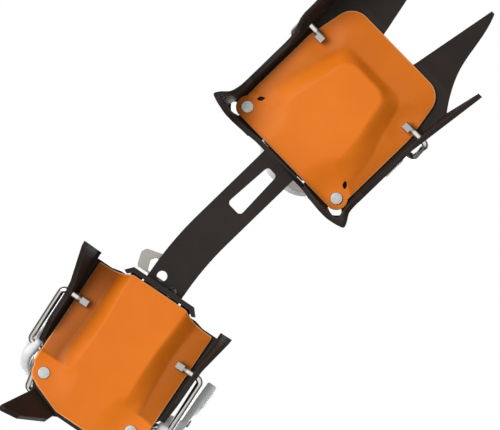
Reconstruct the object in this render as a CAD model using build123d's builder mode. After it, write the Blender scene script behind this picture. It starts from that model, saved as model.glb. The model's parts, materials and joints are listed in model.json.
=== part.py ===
"""Ten-point walking crampon for the right boot, bench model in millimetres.

+Z is up (boot side), +Y points to the toes, +X to the outer side of the foot.
Z = 0 is the top of the two sheet-steel frames, the face that the boot stands on.
"""

import os
from math import cos, radians, sin, tan

from build123d import *

os.makedirs("parts", exist_ok=True)

# ---- sheet steel, fits and fasteners -----------------------------------------
sheet = 3.0  # frame and bar stock
bend_radius = 1.2  # inside radius of the folded walls
wall_margin = 12.0  # strip of top sheet made with each side wall
wall_lean = 6.3  # side walls lean outwards, degrees
point_depth = 50.0  # frame top down to the ground
wall_depth = 16.0  # frame top down to the lower edge of a side wall
tip_land = 3.0  # width left at the end of a point
slide_gap = 0.3  # bar to frame, all round
wire = 4.2  # bail wire diameter
wire_bend = 3.2  # centre-line radius of a bend in a bail wire
wire_fit = 0.1  # radial running clearance of a wire in its hole
lug_drop = 9.5  # frame top down to the bail holes
head_size = 5.0  # hammered head on the end of a wire
head_set = 1.1  # the head of a toe wire stands this far behind its hole
rivet_head = 7.8
rivet_head_height = 1.4
rivet_shank = 4.0
rivet_sink = 1.0  # countersink that takes the set end of a rivet, flush with the frame top
rivet_fit = 0.03  # radial, in the frames
moulded = 2.0  # wall of the moulded antiballing plates

# ---- front unit --------------------------------------------------------------
front_half = 48.2  # centre line to the outer face of the side wall, at the top
front_rear_y = -11.1  # outer face of the rear flange
front_turn_y = 52.0  # the side wall turns outwards from here
front_turn = 4.1  # degrees
front_nose_y = 88.0  # front edge of the frame between the front points
front_bend_y = 93.0  # fold line of the front points
front_point_drop = 27.0  # slope of the front points, degrees
front_point_tip = (front_half - 23.7, 145.0)
notch_y = 83.6  # fork between the front and the secondary point
secondary_tip_y = 104.5
flange_depth = 15.0
front_lug_y = 61.3
spare_lug_y = 73.0
spare_lug_radius = 2.3
corner_tip = (front_half + 7.9, -9.3)  # rear corner point of the front unit
corner_ridge = (front_half + 2.1, front_rear_y - 1.6)  # upright edge between its two blades
relief_radius = 4.5  # round hole in the corner of the frame

front_plate_half = front_half - 4.4
front_plate_rear_y = -6.9
front_plate_nose_y = 89.2
front_rivet = (front_plate_half - 5.3, 0.0)
front_dome_half = front_plate_half - 8.8  # foot of the dome at the rear
front_plateau_half = front_dome_half - 12.0
front_dome_depth = 9.0  # how far the dome stands below the rim
crest_radius = 8.0  # rounding of the moulded domes
front_throat_half = 18.5  # inside of the moulded throat over the bar's head
front_throat_depth = 5.2

# ---- linking bar -------------------------------------------------------------
bar_width = 25.0
bar_pivot_y = front_rear_y + sheet / 2
bar_z = -sheet - slide_gap  # upper face of the bar
bar_head_width = 34.0
bar_head_length = 5.0
bar_window_start = 5.2  # pivot flange to the front end of the tapered slot
bar_window_length = 32.5
bar_window_front = 7.7
bar_window_rear = 11.0
bar_lead = 57.5  # straight length before the curve
bar_curve_radius = 206.0
bar_curve_angle = 11.9  # degrees, also the turn of the rear unit
bar_tail = 70.0  # straight length after the curve
bar_hole = 6.4
bar_hole_pitch = 10.0  # in each of the two staggered rows
bar_rows = 10.0
bar_holes_in_row = 5
stop_y = -29.0  # stop rivet near the bar's tail, in the rear unit's axes
stop_radius = 2.0

# ---- rear unit, in its own axes ----------------------------------------------
rear_half = 45.3
rear_front_y = 34.2  # outer face of the front flange
rear_flange_half = 21.5
rear_turn_y = 5.0
rear_turn = 5.7
rear_point_y = 30.5  # front edge of the front points
rear_back_y = -66.5  # rear edge of the deck
rear_lug_y = 0.0
rest_line_y = 3.6  # coined line that ends the flat heel rest
rest_line_width = 1.2
rest_line_depth = 0.5
rear_point_lean = 23.4  # rearmost points, degrees from upright
slot_half = 14.0  # the curved bar passes the slot sideways

rear_plate_half = rear_half - 4.4
rear_rivet = (rear_plate_half - 9.4, -49.0)
rear_dome_depth = 10.0
rear_dome_half = rear_plate_half - 12.4
rear_plateau_half = rear_dome_half - 10.5
rear_dome_end_y = -37.0
guide_sheet = 2.0  # strap that carries the bar inside the rear unit
guide_y = 11.0
guide_length = 12.0
guide_rivet = 3.0
guide_rivet_x = 19.5
ear_height = 6.0
ear_length = 6.4
lever_pivot_y = 22.5
lever_pivot_z = 2.9
lever_pin = 3.0  # pivot pin diameter
lever_sheet = 1.5
lever_raised = 20.0  # degrees, rest position, lock pin drawn out of the bar
lock_pin = 4.8
lock_row = -1  # the lock pin works in the inner row of holes

# ---- bindings ----------------------------------------------------------------
bail_stand = 5.2  # a bail wire runs this far outside the top of its side wall
head_reach = 10.5  # outer wall down to the middle of a hammered head, inwards
toe_outer = front_half + bail_stand
toe_wire_rake = 50.0  # first leg of a toe wire, degrees above level
toe_wire_leg = 16.2
toe_arm_half = front_half - 2.2  # toe wires and basket arms above the frame
toe_jog = 2.0
toe_rake = 25.0  # the toe basket rests this far above level, degrees
toe_wire_length = 17.0  # length of wire inside a basket arm
basket_wall = 3.4
basket_band = 16.0
basket_reach = 70.0  # along the basket, from the toe wires' crossing to its rounded end
basket_end_half = 14.0
basket_end_x = -4.5  # the rounded end leans to the inner side
basket_start = 4.5
socket = 8.0  # moulded socket round a wire
heel_outer = rear_half + bail_stand - 0.3
heel_rake = 22.0  # the heel loop rests this far above level, degrees
heel_cross = 37.0  # the heel wire turns in over the frame this far behind its holes
heel_inner = rear_plate_half - 0.5
heel_back_half = rear_plate_half - 5.2
heel_back = 62.3
cradle_wall = 4.0
cradle_low = 16.6
cradle_high = 47.0
cradle_half = rear_half + 6.0  # centre of the band
cradle_lean = -3.0  # the cradle stands this far towards the inner side
cradle_front_y = 2.0
cradle_back_y = -57.4
clip_x = 21.0  # two clips hold the cradle on the back of the wire
clip_width = 9.0

# ---- placing of the rear unit ------------------------------------------------
curve_start = (0.0, bar_pivot_y - bar_lead)
turn = radians(bar_curve_angle)
curve_end = (
    curve_start[0] - bar_curve_radius * (1 - cos(turn)),
    curve_start[1] - bar_curve_radius * sin(turn),
)
tail_ahead = 2.0  # curve end to the outer face of the rear unit's flange
rear_run = tail_ahead + rear_front_y
rear_origin = (
    curve_end[0] - rear_run * sin(turn),
    curve_end[1] - rear_run * cos(turn),
)
rear_plane = Plane(
    origin=(rear_origin[0], rear_origin[1], 0),
    x_dir=(cos(turn), -sin(turn), 0),
    z_dir=(0, 0, 1),
)
rear_place = rear_plane.location


def across(y):
    """Plane that cuts the frame crosswise: local x = X, local y = Z."""
    return Plane(origin=(0, y, 0), x_dir=(1, 0, 0), z_dir=(0, -1, 0))


def along(x):
    """Upright plane that runs lengthwise: local x = Y, local y = Z."""
    return Plane(origin=(x, 0, 0), x_dir=(0, 1, 0), z_dir=(1, 0, 0))


def folded_wall(y, half):
    """Section of the folded side: the margin of the top sheet and its leaning wall."""
    foot = half + point_depth * tan(radians(wall_lean))
    with BuildSketch(across(y)) as section:
        with BuildLine():
            FilletPolyline(
                (half - wall_margin, 0), (half, 0), (foot, -point_depth), radius=bend_radius + sheet
            )
            offset(amount=sheet, side=Side.RIGHT)
        make_face()
    return section.sketch


def outward_plane(a, b, c, outward):
    """Plane through three points, its normal turned towards the outward vector."""
    a, b, c = Vector(*a), Vector(*b), Vector(*c)
    normal = (b - a).cross(c - a).normalized()
    if normal.dot(Vector(*outward)) < 0:
        normal = -normal
    return Plane(origin=a, x_dir=(b - a).normalized(), z_dir=normal)


def blade_face(plane, corners):
    """Outline of a blade on the plane, from corners given in space."""
    flat = [plane.to_local_coords(Vector(*corner)) for corner in corners]
    with BuildSketch(plane) as outline:
        with BuildLine():
            Polyline(*[(p.X, p.Y) for p in flat], close=True)
        make_face()
    return outline.sketch


# ---- front frame -------------------------------------------------------------
nose_slope = tan(radians(front_point_drop))
with BuildPart() as front_deck:
    with BuildSketch(Plane.YZ):
        with BuildLine():
            FilletPolyline(
                (front_rear_y + 6, 0),
                (front_bend_y, 0),
                (150, -(150 - front_bend_y) * nose_slope),
                radius=12,
            )
            offset(amount=sheet, side=Side.RIGHT)
        make_face()
    extrude(amount=front_half + 10)
    with BuildSketch():
        with BuildLine():
            Polyline(
                (front_point_tip[0] + tip_land / 2, front_point_tip[1]),
                (front_point_tip[0] - tip_land / 4, front_point_tip[1]),
                (12.8, front_nose_y + 1.5),
                (11.5, front_nose_y),
                (0, front_nose_y),
                (0, -20),
                (front_half - 4, -20),
                (front_half - 4, front_turn_y),
                (front_half - 0.6, notch_y),
            )
            Spline(
                (front_half - 0.6, notch_y),
                (front_half - 8.7, notch_y + 12.4),
                (front_half - 13.4, notch_y + 23.4),
                (front_half - 16.8, notch_y + 40.4),
                (front_point_tip[0] + tip_land / 2, front_point_tip[1]),
            )
        make_face()
    extrude(amount=-point_depth, mode=Mode.INTERSECT)

with BuildPart() as front_frame:
    wall_rear_y = front_rear_y + 6
    extrude(folded_wall(wall_rear_y, front_half), amount=wall_rear_y - front_turn_y)
    turned = Vector(sin(radians(front_turn)), cos(radians(front_turn)), 0)
    turned_length = (secondary_tip_y - front_turn_y) / turned.Y
    extrude(folded_wall(front_turn_y, front_half), amount=turned_length, dir=turned)
    with BuildSketch(along(front_half - 14)):
        with BuildLine():
            Polyline(
                (-30, -wall_depth),
                (front_turn_y - 6, -wall_depth),
                (front_turn_y + 2, -wall_depth - 2),
                (secondary_tip_y - tip_land, -point_depth),
                (secondary_tip_y - tip_land, -point_depth - 30),
                (-30, -point_depth - 30),
                close=True,
            )
        make_face()
        with BuildLine():
            Polyline(
                (notch_y, 10),
                (notch_y, -sheet),
                (secondary_tip_y, -point_depth),
                (secondary_tip_y - 12, -point_depth),
                (secondary_tip_y - 12, -point_depth - 30),
                (secondary_tip_y + 30, -point_depth - 30),
                (secondary_tip_y + 30, 10),
                close=True,
            )
        make_face()
    extrude(amount=40, mode=Mode.SUBTRACT)
    add(front_deck.part)
    # rear flange, folded down from the deck
    with BuildSketch(Plane.YZ):
        with BuildLine():
            FilletPolyline(
                (front_rear_y + 12, 0),
                (front_rear_y, 0),
                (front_rear_y, -flange_depth),
                radius=bend_radius + sheet,
            )
            offset(amount=sheet, side=Side.LEFT)
        make_face()
    extrude(amount=front_half - 14)
    # corner point: two blades that meet in an upright ridge, the side one with a hollow lower edge
    ridge = (*corner_ridge, -1.0)
    tip = (*corner_tip, -point_depth)
    side_low = (front_half + 1.8, 12.0, -wall_depth)
    side_top = (front_half + 0.1, 4.0, -1.5)
    side_hollow = [(front_half + 2.6, 1.0, -18.5), (front_half + 3.6, -2.6, -24.0)]
    rear_low = (20.0, front_rear_y, -flange_depth)
    rear_top = (26.0, front_rear_y, -2.0)
    rear_hollow = [(38.0, front_rear_y - 1.0, -flange_depth - 1.5), (45.0, front_rear_y - 1.0, -21.0)]
    side_tip = (tip[0], tip[1] + tip_land, tip[2])
    rear_tip = (tip[0] - tip_land, tip[1], tip[2])
    side_blade = outward_plane(ridge, tip, side_low, (1, 0, 0))
    rear_blade = outward_plane(ridge, tip, rear_low, (0, -1, 0))
    side_outline = [ridge, tip, side_tip, *reversed(side_hollow), side_low, side_top]
    rear_outline = [ridge, tip, rear_tip, *reversed(rear_hollow), rear_low, rear_top]
    extrude(blade_face(side_blade, side_outline), amount=-sheet)
    extrude(blade_face(rear_blade, rear_outline), amount=-sheet)
    # relief hole behind the corner, bail hole and spare bail hole
    with Locations((front_half - 5.2, front_rear_y + 4.6, 0)):
        Cylinder(relief_radius, 2 * sheet + 1, mode=Mode.SUBTRACT)
    with BuildSketch(along(front_half - 8)):
        with Locations((front_lug_y, -lug_drop)):
            Circle(wire / 2 + wire_fit)
        with Locations((spare_lug_y, -lug_drop)):
            Circle(spare_lug_radius)
    extrude(amount=20, mode=Mode.SUBTRACT)
    # rivet hole, lightening windows, and the window and slot of the bar
    with Locations((front_rivet[0], front_rivet[1], 0)):
        CounterSinkHole(rivet_shank / 2 + rivet_fit, rivet_shank / 2 + rivet_sink + rivet_fit, 2 * sheet, 90)
    with BuildSketch():
        with BuildLine():
            FilletPolyline(
                (-2, 14), (front_half - 21.2, 14), (front_half - 19.2, 40),
                (front_half - 26.2, 66), (-2, 66), radius=6,
            )
            Line((-2, 66), (-2, 14))
        make_face()
        with Locations((0, front_rear_y + 4.4)):
            Rectangle(bar_head_width + 2, 9.2)
    extrude(amount=-sheet - 0.5, mode=Mode.SUBTRACT)
    with BuildSketch(across(front_rear_y - 1)):
        with Locations((0, bar_z - sheet / 2)):
            Rectangle(bar_width + 4 * slide_gap, sheet + 4 * slide_gap)
        with Locations((0, 0)):
            Rectangle(bar_width + 4 * slide_gap, 2 * sheet + 1)
    extrude(amount=-(sheet + 3), mode=Mode.SUBTRACT)
    with BuildSketch(Plane.XY.offset(-point_depth)):
        Rectangle(400, 400)
    extrude(amount=-20, mode=Mode.SUBTRACT)
    mirror(about=Plane.YZ)

# ---- front antiballing plate ---------------------------------------------------
rim_low = -sheet - moulded


def front_dome(grow, foot_z, top_z, crest_radius):
    """Loft of the front dome, made wider by grow on every side, with a rounded crest."""
    with BuildPart() as dome:
        with BuildSketch(Plane.XY.offset(foot_z)):
            with BuildLine():
                foot = front_dome_half + grow
                FilletPolyline(
                    (0, 10 - grow), (foot, 10 - grow), (foot - 2, 42),
                    (foot - 11, 69 + grow), (0, 69 + grow), radius=9,
                )
                Line((0, 69 + grow), (0, 10 - grow))
            make_face()
        with BuildSketch(Plane.XY.offset(top_z)):
            with BuildLine():
                crest = front_plateau_half + grow
                FilletPolyline(
                    (0, 14 - grow), (crest, 14 - grow), (crest - 3, 40),
                    (crest - 9.5, 65 + grow), (0, 65 + grow), radius=6,
                )
                Line((0, 65 + grow), (0, 14 - grow))
            make_face()
        loft()
        crest_face = dome.faces().sort_by(Axis.Z)[0]
        fillet(crest_face.edges().filter_by(lambda edge: edge.center().X > 0.1), crest_radius)
    return dome.part


def throat(half, lean, top_z, foot_z, start_y, end_y):
    """Half of a channel of trapezoidal section that runs lengthwise."""
    with BuildPart() as channel:
        with BuildSketch(across(start_y)):
            with BuildLine():
                Polyline((0, foot_z), (half + lean, foot_z), (half, top_z), (0, top_z), close=True)
            make_face()
        extrude(amount=start_y - end_y)
    return channel.part


with BuildPart() as front_antiball_plate:
    with BuildSketch(Plane.XY.offset(rim_low)):
        with BuildLine():
            edge = FilletPolyline(
                (0, front_plate_rear_y),
                (front_plate_half, front_plate_rear_y),
                (front_plate_half, 57),
                (front_plate_half - 6, front_plate_nose_y),
                (0, front_plate_nose_y),
                radius=[6.8, 30, 12.5],
            )
            Line(edge @ 1, edge @ 0)
        make_face()
    extrude(amount=moulded)
    dome_low = rim_low - front_dome_depth
    throat_low = rim_low - front_throat_depth
    add(front_dome(0, rim_low, dome_low, crest_radius))
    add(throat(front_throat_half + moulded, 2, throat_low, rim_low, front_plate_rear_y, 16))
    add(front_dome(-moulded, -sheet, dome_low + moulded, crest_radius - moulded), mode=Mode.SUBTRACT)
    add(
        throat(front_throat_half, 0, throat_low + moulded, -sheet, front_plate_rear_y - 1, 18),
        mode=Mode.SUBTRACT,
    )
    # stop rib that keeps the bar's head from moving forward
    rib_y = front_rear_y + sheet + 0.5 + bar_head_length + 2 * slide_gap
    with Locations((0, rib_y, throat_low + moulded)):
        Box(
            front_throat_half, 1.8, front_throat_depth - slide_gap,
            align=(Align.MIN, Align.MIN, Align.MIN),
        )
    with Locations((front_rivet[0], front_rivet[1], 0)):
        Cylinder(rivet_shank / 2 + rivet_fit, 40, mode=Mode.SUBTRACT)
    with BuildSketch(Plane.XY.offset(rim_low - 1)):
        with Locations(Location((front_rivet[0] - 1.9, front_rivet[1] + 8.7, 0), (0, 0, 40))):
            SlotOverall(4.4, 2.0)
    extrude(amount=moulded + 2, mode=Mode.SUBTRACT)
    mirror(about=Plane.YZ)


def rivet(low, high, head=rivet_head):
    """Rivet on the Z axis: factory head below low, set end flush in its countersink at high."""
    with BuildPart() as one:
        with BuildSketch(Plane.XZ):
            with BuildLine():
                Polyline(
                    (0, low - rivet_head_height),
                    (head / 2 - 0.5, low - rivet_head_height),
                    (head / 2, low - rivet_head_height + 0.5),
                    (head / 2, low),
                    (rivet_shank / 2, low),
                    (rivet_shank / 2, high - rivet_sink),
                    (rivet_shank / 2 + rivet_sink, high),
                    (0, high),
                    close=True,
                )
            make_face()
        revolve(axis=Axis.Z)
    return one.part


with BuildPart() as front_plate_rivets:
    with Locations((front_rivet[0], front_rivet[1], 0), (-front_rivet[0], front_rivet[1], 0)):
        add(rivet(rim_low, 0))

# ---- linking bar -------------------------------------------------------------
bar_head_y = front_rear_y + sheet + 0.5
tail_end = (
    curve_end[0] - bar_tail * sin(turn),
    curve_end[1] - bar_tail * cos(turn),
)
with BuildPart() as linking_bar:
    with BuildSketch(Plane.XY.offset(bar_z)):
        with BuildLine():
            Line((0, bar_head_y), curve_start)
            CenterArc((-bar_curve_radius, curve_start[1]), bar_curve_radius, 0, -bar_curve_angle)
            Line(curve_end, tail_end)
        trace(line_width=bar_width)
        with Locations((0, bar_head_y + bar_head_length / 2)):
            RectangleRounded(bar_head_width, bar_head_length, 1.5)
        slot_y = front_rear_y - bar_window_start
        with BuildSketch(mode=Mode.SUBTRACT) as tapered:
            with BuildLine():
                Polyline(
                    (-bar_window_front / 2, slot_y),
                    (bar_window_front / 2, slot_y),
                    (bar_window_rear / 2, slot_y - bar_window_length),
                    (-bar_window_rear / 2, slot_y - bar_window_length),
                    close=True,
                )
            make_face()
            fillet(tapered.vertices(), 2.5)
    extrude(amount=-sheet)
    with BuildSketch(rear_plane.offset(bar_z)):
        with Locations((0, stop_y)):
            Circle(stop_radius)
        for count in range(bar_holes_in_row):
            for row, first in ((1, 39.0), (-1, 34.0)):
                with Locations((row * bar_rows / 2, first - count * bar_hole_pitch)):
                    Circle(bar_hole / 2)
    extrude(amount=-sheet, mode=Mode.SUBTRACT)

# stop that keeps the bar from leaving the rear unit
stop_place = rear_place * Location((0, stop_y, bar_z))
with BuildPart() as bar_stop_rivet:
    Cylinder(stop_radius, sheet, align=(Align.CENTER, Align.CENTER, Align.MAX))
    with Locations((0, 0, -sheet)):
        Cylinder(stop_radius + 1.4, 1.0, align=(Align.CENTER, Align.CENTER, Align.MAX))

# ---- rear frame --------------------------------------------------------------
root_out = (rear_plate_half - 9.4, rear_back_y + 4.5, -1.0)
root_in = (12.5, rear_back_y - 1.3, -1.0)
rear_nose = [
    (0, rear_front_y - 6.2), (rear_half - 18.3, rear_front_y - 6.4),
    (rear_half - 12.3, rear_front_y - 7.8), (rear_half - 4, rear_front_y - 7.8),
]
with BuildPart() as rear_frame:
    with BuildSketch():
        with BuildLine():
            Polyline(
                *rear_nose,
                (rear_half - 4, -33),
                (rear_plate_half, rear_back_y + 20.5),
                (rear_plate_half - 7.2, rear_back_y + 8.7),
                root_out[:2],
                root_in[:2],
                (10, rear_back_y),
                (0, rear_back_y),
                rear_nose[0],
            )
        make_face()
    extrude(amount=-sheet)
    wall_back_y = -36.0
    extrude(folded_wall(wall_back_y, rear_half), amount=wall_back_y - rear_turn_y)
    turned = Vector(sin(radians(rear_turn)), cos(radians(rear_turn)), 0)
    extrude(
        folded_wall(rear_turn_y, rear_half),
        amount=(rear_point_y - rear_turn_y) / turned.Y,
        dir=turned,
    )
    with BuildSketch(along(rear_half - 6)):
        with BuildLine():
            Polyline(
                (-40, -sheet),
                (-34, -sheet),
                (-20, -wall_depth),
                (-4, -wall_depth - 2),
                (6, -wall_depth - 9),
                (rear_point_y - tip_land - 0.5, -point_depth),
                (rear_point_y - tip_land - 0.5, -point_depth - 30),
                (-40, -point_depth - 30),
                close=True,
            )
        make_face()
    extrude(amount=40, mode=Mode.SUBTRACT)
    # the margin of the folded walls narrows behind and stands back in front
    with BuildSketch(Plane.XY.offset(1)):
        with BuildLine():
            Polyline((rear_plate_half + 0.4, -36), (60, -36), (60, -30), (rear_half, -30), close=True)
        make_face()
        with Locations((rear_half - wall_margin - 1, rear_front_y - 7.8)):
            Rectangle(wall_margin - 1, 10, align=(Align.MIN, Align.MIN))
    extrude(amount=-sheet - 1, mode=Mode.SUBTRACT)
    # front flange with the slot of the bar
    with BuildSketch(Plane.YZ):
        with BuildLine():
            FilletPolyline(
                (rear_front_y - 14, 0),
                (rear_front_y, 0),
                (rear_front_y, -flange_depth),
                radius=bend_radius + sheet,
            )
            offset(amount=sheet, side=Side.RIGHT)
        make_face()
    extrude(amount=rear_flange_half)
    with BuildSketch(Plane.XY.offset(-flange_depth)):
        with BuildLine():
            Polyline(
                (rear_flange_half, rear_front_y), (rear_flange_half + 4.1, rear_front_y - 4.6),
                (rear_flange_half + 2, rear_front_y - 5.6),
                (rear_flange_half - 1.3, rear_front_y - sheet),
                (rear_flange_half - 1.3, rear_front_y), close=True,
            )
        make_face()
    extrude(amount=flange_depth)
    # rear points: one leaning blade on each rear corner
    root = Vector(root_in[0] - root_out[0], root_in[1] - root_out[1], 0).normalized()
    back = Vector(-root.Y, root.X, 0)
    lean = tan(radians(rear_point_lean))


    def on_blade(run, depth):
        """Point on the outer face of the rear blade."""
        foot = Vector(*root_out) + root * run + back * (depth * lean)
        return (foot.X, foot.Y, -1.0 - depth)


    rear_blade = outward_plane(on_blade(0, 0), on_blade(20, 0), on_blade(0, 40), (0, -1, 0))
    blade_points = [
        on_blade(0, 0),
        on_blade(-2.9, point_depth - 1),
        on_blade(-0.5, point_depth - 1),
        on_blade(8.9, 39.0),
        on_blade(19.8, 13.0),
        on_blade(19.8, 0),
    ]
    extrude(blade_face(rear_blade, blade_points), amount=-sheet)
    # holes: bail, rivet, openings over the plate, window and slot of the bar
    with BuildSketch(along(rear_half - 8)):
        with Locations((rear_lug_y, -lug_drop)):
            Circle(wire / 2 + wire_fit)
    extrude(amount=20, mode=Mode.SUBTRACT)
    with Locations((rear_rivet[0], rear_rivet[1], 0)):
        CounterSinkHole(rivet_shank / 2 + rivet_fit, rivet_shank / 2 + rivet_sink + rivet_fit, 2 * sheet, 90)
    with Locations((guide_rivet_x, guide_y, 0)):
        Cylinder(guide_rivet / 2, 3 * sheet, mode=Mode.SUBTRACT)
    # coined line that ends the flat heel rest
    with Locations((0, rest_line_y, 0)):
        Box(
            2 * rear_half, rest_line_width, 2 * rest_line_depth, mode=Mode.SUBTRACT,
        )
    with BuildSketch():
        with BuildLine():
            opening = FilletPolyline((-2, 2), (25, 2), (25, -30), (17, -48), (-2, -48), radius=5)
            Line(opening @ 1, opening @ 0)
        make_face()
        with Locations((0, 27.4)):
            Rectangle(2 * slot_half, 14.8)
    extrude(amount=-sheet - 0.5, mode=Mode.SUBTRACT)
    with BuildSketch(across(rear_front_y - sheet - 4)):
        Rectangle(2 * slot_half, 2 * (-bar_z + sheet + 2 * slide_gap))
    extrude(amount=-(sheet + 6), mode=Mode.SUBTRACT)
    # ear for the lever's pivot pin, folded up beside the window
    with BuildSketch(along(slot_half)):
        with BuildLine():
            ear_low = Line(
                (lever_pivot_y + ear_length / 2, -sheet), (lever_pivot_y - ear_length / 2, -sheet)
            )
            Line(ear_low @ 1, (lever_pivot_y - ear_length / 2, ear_height - ear_length / 2))
            ThreePointArc(
                (lever_pivot_y - ear_length / 2, ear_height - ear_length / 2),
                (lever_pivot_y, ear_height),
                (lever_pivot_y + ear_length / 2, ear_height - ear_length / 2),
            )
            Line((lever_pivot_y + ear_length / 2, ear_height - ear_length / 2), ear_low @ 0)
        make_face()
    extrude(amount=sheet)
    with BuildSketch(along(slot_half - 1)):
        with Locations((lever_pivot_y, lever_pivot_z)):
            Circle(lever_pin / 2)
    extrude(amount=sheet + 2, mode=Mode.SUBTRACT)
    with BuildSketch(Plane.XY.offset(-point_depth)):
        Rectangle(400, 400)
    extrude(amount=-20, mode=Mode.SUBTRACT)
    mirror(about=Plane.YZ)

# ---- rear antiballing plate ----------------------------------------------------
def rear_dome(inset, foot_z, top_z, front_y):
    """Half of the rear dome: a trapezoidal channel that closes towards the heel."""
    with BuildPart() as dome:
        with BuildSketch(across(front_y)):
            with BuildLine():
                Polyline(
                    (0, foot_z), (rear_dome_half - inset, foot_z),
                    (rear_plateau_half - inset, top_z), (0, top_z), close=True,
                )
            make_face()
        extrude(amount=front_y - rear_dome_end_y)
        with BuildSketch(across(rear_dome_end_y)):
            with BuildLine():
                Polyline(
                    (0, foot_z), (rear_dome_half - inset, foot_z),
                    (rear_plateau_half - inset, top_z), (0, top_z), close=True,
                )
            make_face()
        with BuildSketch(across(rear_dome_end_y - 24)):
            with BuildLine():
                Polyline(
                    (0, foot_z), (19 - inset, foot_z),
                    (15.5 - inset, foot_z - 4), (0, foot_z - 4), close=True,
                )
            make_face()
        loft()
    return dome.part


with BuildPart() as rear_antiball_plate:
    with BuildSketch(Plane.XY.offset(rim_low)) as rear_rim:
        with BuildLine():
            Polyline(
                (0, rear_back_y + 2.1), (12.6, rear_back_y + 2.1),
                (rear_plate_half - 8.0, rear_back_y + 9.5), (rear_plate_half, rear_back_y + 20.5),
                (rear_plate_half, rear_front_y - 8.8), (rear_plate_half - 7.9, rear_front_y - 8.6),
                (rear_plate_half - 13.9, rear_front_y - 7.6), (rear_plate_half - 17.5, rear_front_y - 6.3),
                (rear_plate_half - 21.9, rear_front_y - 4.0), (0, rear_front_y - 4.0),
                close=True,
            )
        make_face()
    plate_outline = rear_rim.sketch
    extrude(amount=moulded)
    rear_low = rim_low - rear_dome_depth
    add(rear_dome(0, rim_low, rear_low, rear_front_y - 4.0))
    add(rear_dome(moulded, -sheet, rear_low + moulded, rear_front_y - 3.0), mode=Mode.SUBTRACT)
    extrude(plate_outline, amount=30, both=True, mode=Mode.INTERSECT)
    with Locations((rear_rivet[0], rear_rivet[1], 0)):
        Cylinder(rivet_shank / 2 + rivet_fit, 40, mode=Mode.SUBTRACT)
    mirror(about=Plane.YZ)

with BuildPart() as rear_plate_rivets:
    with Locations((rear_rivet[0], rear_rivet[1], 0), (-rear_rivet[0], rear_rivet[1], 0)):
        add(rivet(rim_low, 0))

# ---- guide under the bar ---------------------------------------------------------
strap_top = bar_z - sheet - slide_gap
with BuildPart() as bar_guide:
    with BuildSketch(across(guide_y - guide_length / 2)):
        with BuildLine():
            FilletPolyline(
                (23, -sheet),
                (slot_half + 0.4, -sheet),
                (slot_half + 0.4, strap_top),
                (-slot_half - 0.4, strap_top),
                (-slot_half - 0.4, -sheet),
                (-23, -sheet),
                radius=[2.4, 0.6, 0.6, 2.4],
            )
            offset(amount=guide_sheet, side=Side.LEFT)
        make_face()
    extrude(amount=-guide_length)
    with Locations((guide_rivet_x, guide_y, -sheet), (-guide_rivet_x, guide_y, -sheet)):
        Cylinder(guide_rivet / 2, 12, mode=Mode.SUBTRACT)


with BuildPart() as guide_rivets:
    with Locations((guide_rivet_x, guide_y, 0), (-guide_rivet_x, guide_y, 0)):
        Cylinder(guide_rivet / 2, sheet + guide_sheet, align=(Align.CENTER, Align.CENTER, Align.MAX))
        with Locations((0, 0, -sheet - guide_sheet)):
            Cylinder(2.4, 1.0, align=(Align.CENTER, Align.CENTER, Align.MAX))

# ---- length lever --------------------------------------------------------------
lever_low = bar_z + 0.5
lever_top = lever_low + lever_sheet
knuckle_left = -slot_half + slide_gap
knuckle_right = 2.0
with BuildPart() as length_lever:
    with BuildSketch(Plane.XY.offset(lever_low)) as lever_plan:
        with BuildLine():
            FilletPolyline(
                (-9, 25), (-9, 40), (-3, 50.5), (11.5, 50.3), (22.5, 47.4), (24.2, 44),
                (21.3, 34.6), (13, 34.6), (13, 25), radius=[3, 6, 5, 3, 3, 3, 0.3],
            )
            Line((13, 25), (-9, 25))
        make_face()
        with BuildSketch(mode=Mode.SUBTRACT) as thumb_window:
            with BuildLine():
                Polyline((0, 36), (14.4, 36), (16.6, 42.4), (14.4, 45.6), (1, 46.6), close=True)
            make_face()
            fillet(thumb_window.vertices(), 1.5)
    extrude(amount=lever_sheet)
    # rolled knuckle and the strip that runs into it
    with BuildSketch(along(knuckle_left)):
        with Locations((lever_pivot_y, lever_pivot_z)):
            Circle(lever_pin / 2 + lever_sheet)
        with BuildLine():
            Polyline(
                (lever_pivot_y + 1.2, lever_pivot_z - lever_pin / 2 - 0.6),
                (lever_pivot_y + 2.9, lever_pivot_z - 0.2),
                (lever_pivot_y + 4.6, lever_top),
                (lever_pivot_y + 4.6, lever_low),
                (lever_pivot_y + 2.6, lever_low),
                close=True,
            )
        make_face()
    extrude(amount=knuckle_right - knuckle_left)
    with BuildSketch(along(knuckle_left - 1)):
        with Locations((lever_pivot_y, lever_pivot_z)):
            Circle(lever_pin / 2 + 0.06)
    extrude(amount=knuckle_right - knuckle_left + 2, mode=Mode.SUBTRACT)
    lock_x = lock_row * bar_rows / 2
    lock_y = 34.0
    with Locations((lock_x, lock_y, lever_low)):
        Cylinder(lock_pin / 4, 8, mode=Mode.SUBTRACT)

with BuildPart() as lock_stud:
    with BuildSketch(Plane.XZ):
        with BuildLine():
            Polyline(
                (0, lever_top + 0.8), (lock_pin / 2, lever_top + 0.8), (lock_pin / 2, lever_top),
                (lock_pin / 4, lever_top), (lock_pin / 4, lever_low), (lock_pin / 2, lever_low),
                (lock_pin / 2, bar_z - 0.6), (lock_pin / 4 - 0.1, bar_z - sheet),
                (0, bar_z - sheet), close=True,
            )
        make_face()
    revolve(axis=Axis.Z)
lock_stud.part.position = (lock_x, lock_y, 0)

pin_span = slot_half + sheet
with BuildPart() as lever_pivot_pin:
    with BuildSketch(along(-pin_span)):
        with Locations((lever_pivot_y, lever_pivot_z)):
            Circle(lever_pin / 2)
    extrude(amount=2 * pin_span)
    for side_x in (-pin_span - 0.8, pin_span):
        with BuildSketch(along(side_x)):
            with Locations((lever_pivot_y, lever_pivot_z)):
                Circle(2.3)
        extrude(amount=0.8)

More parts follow.
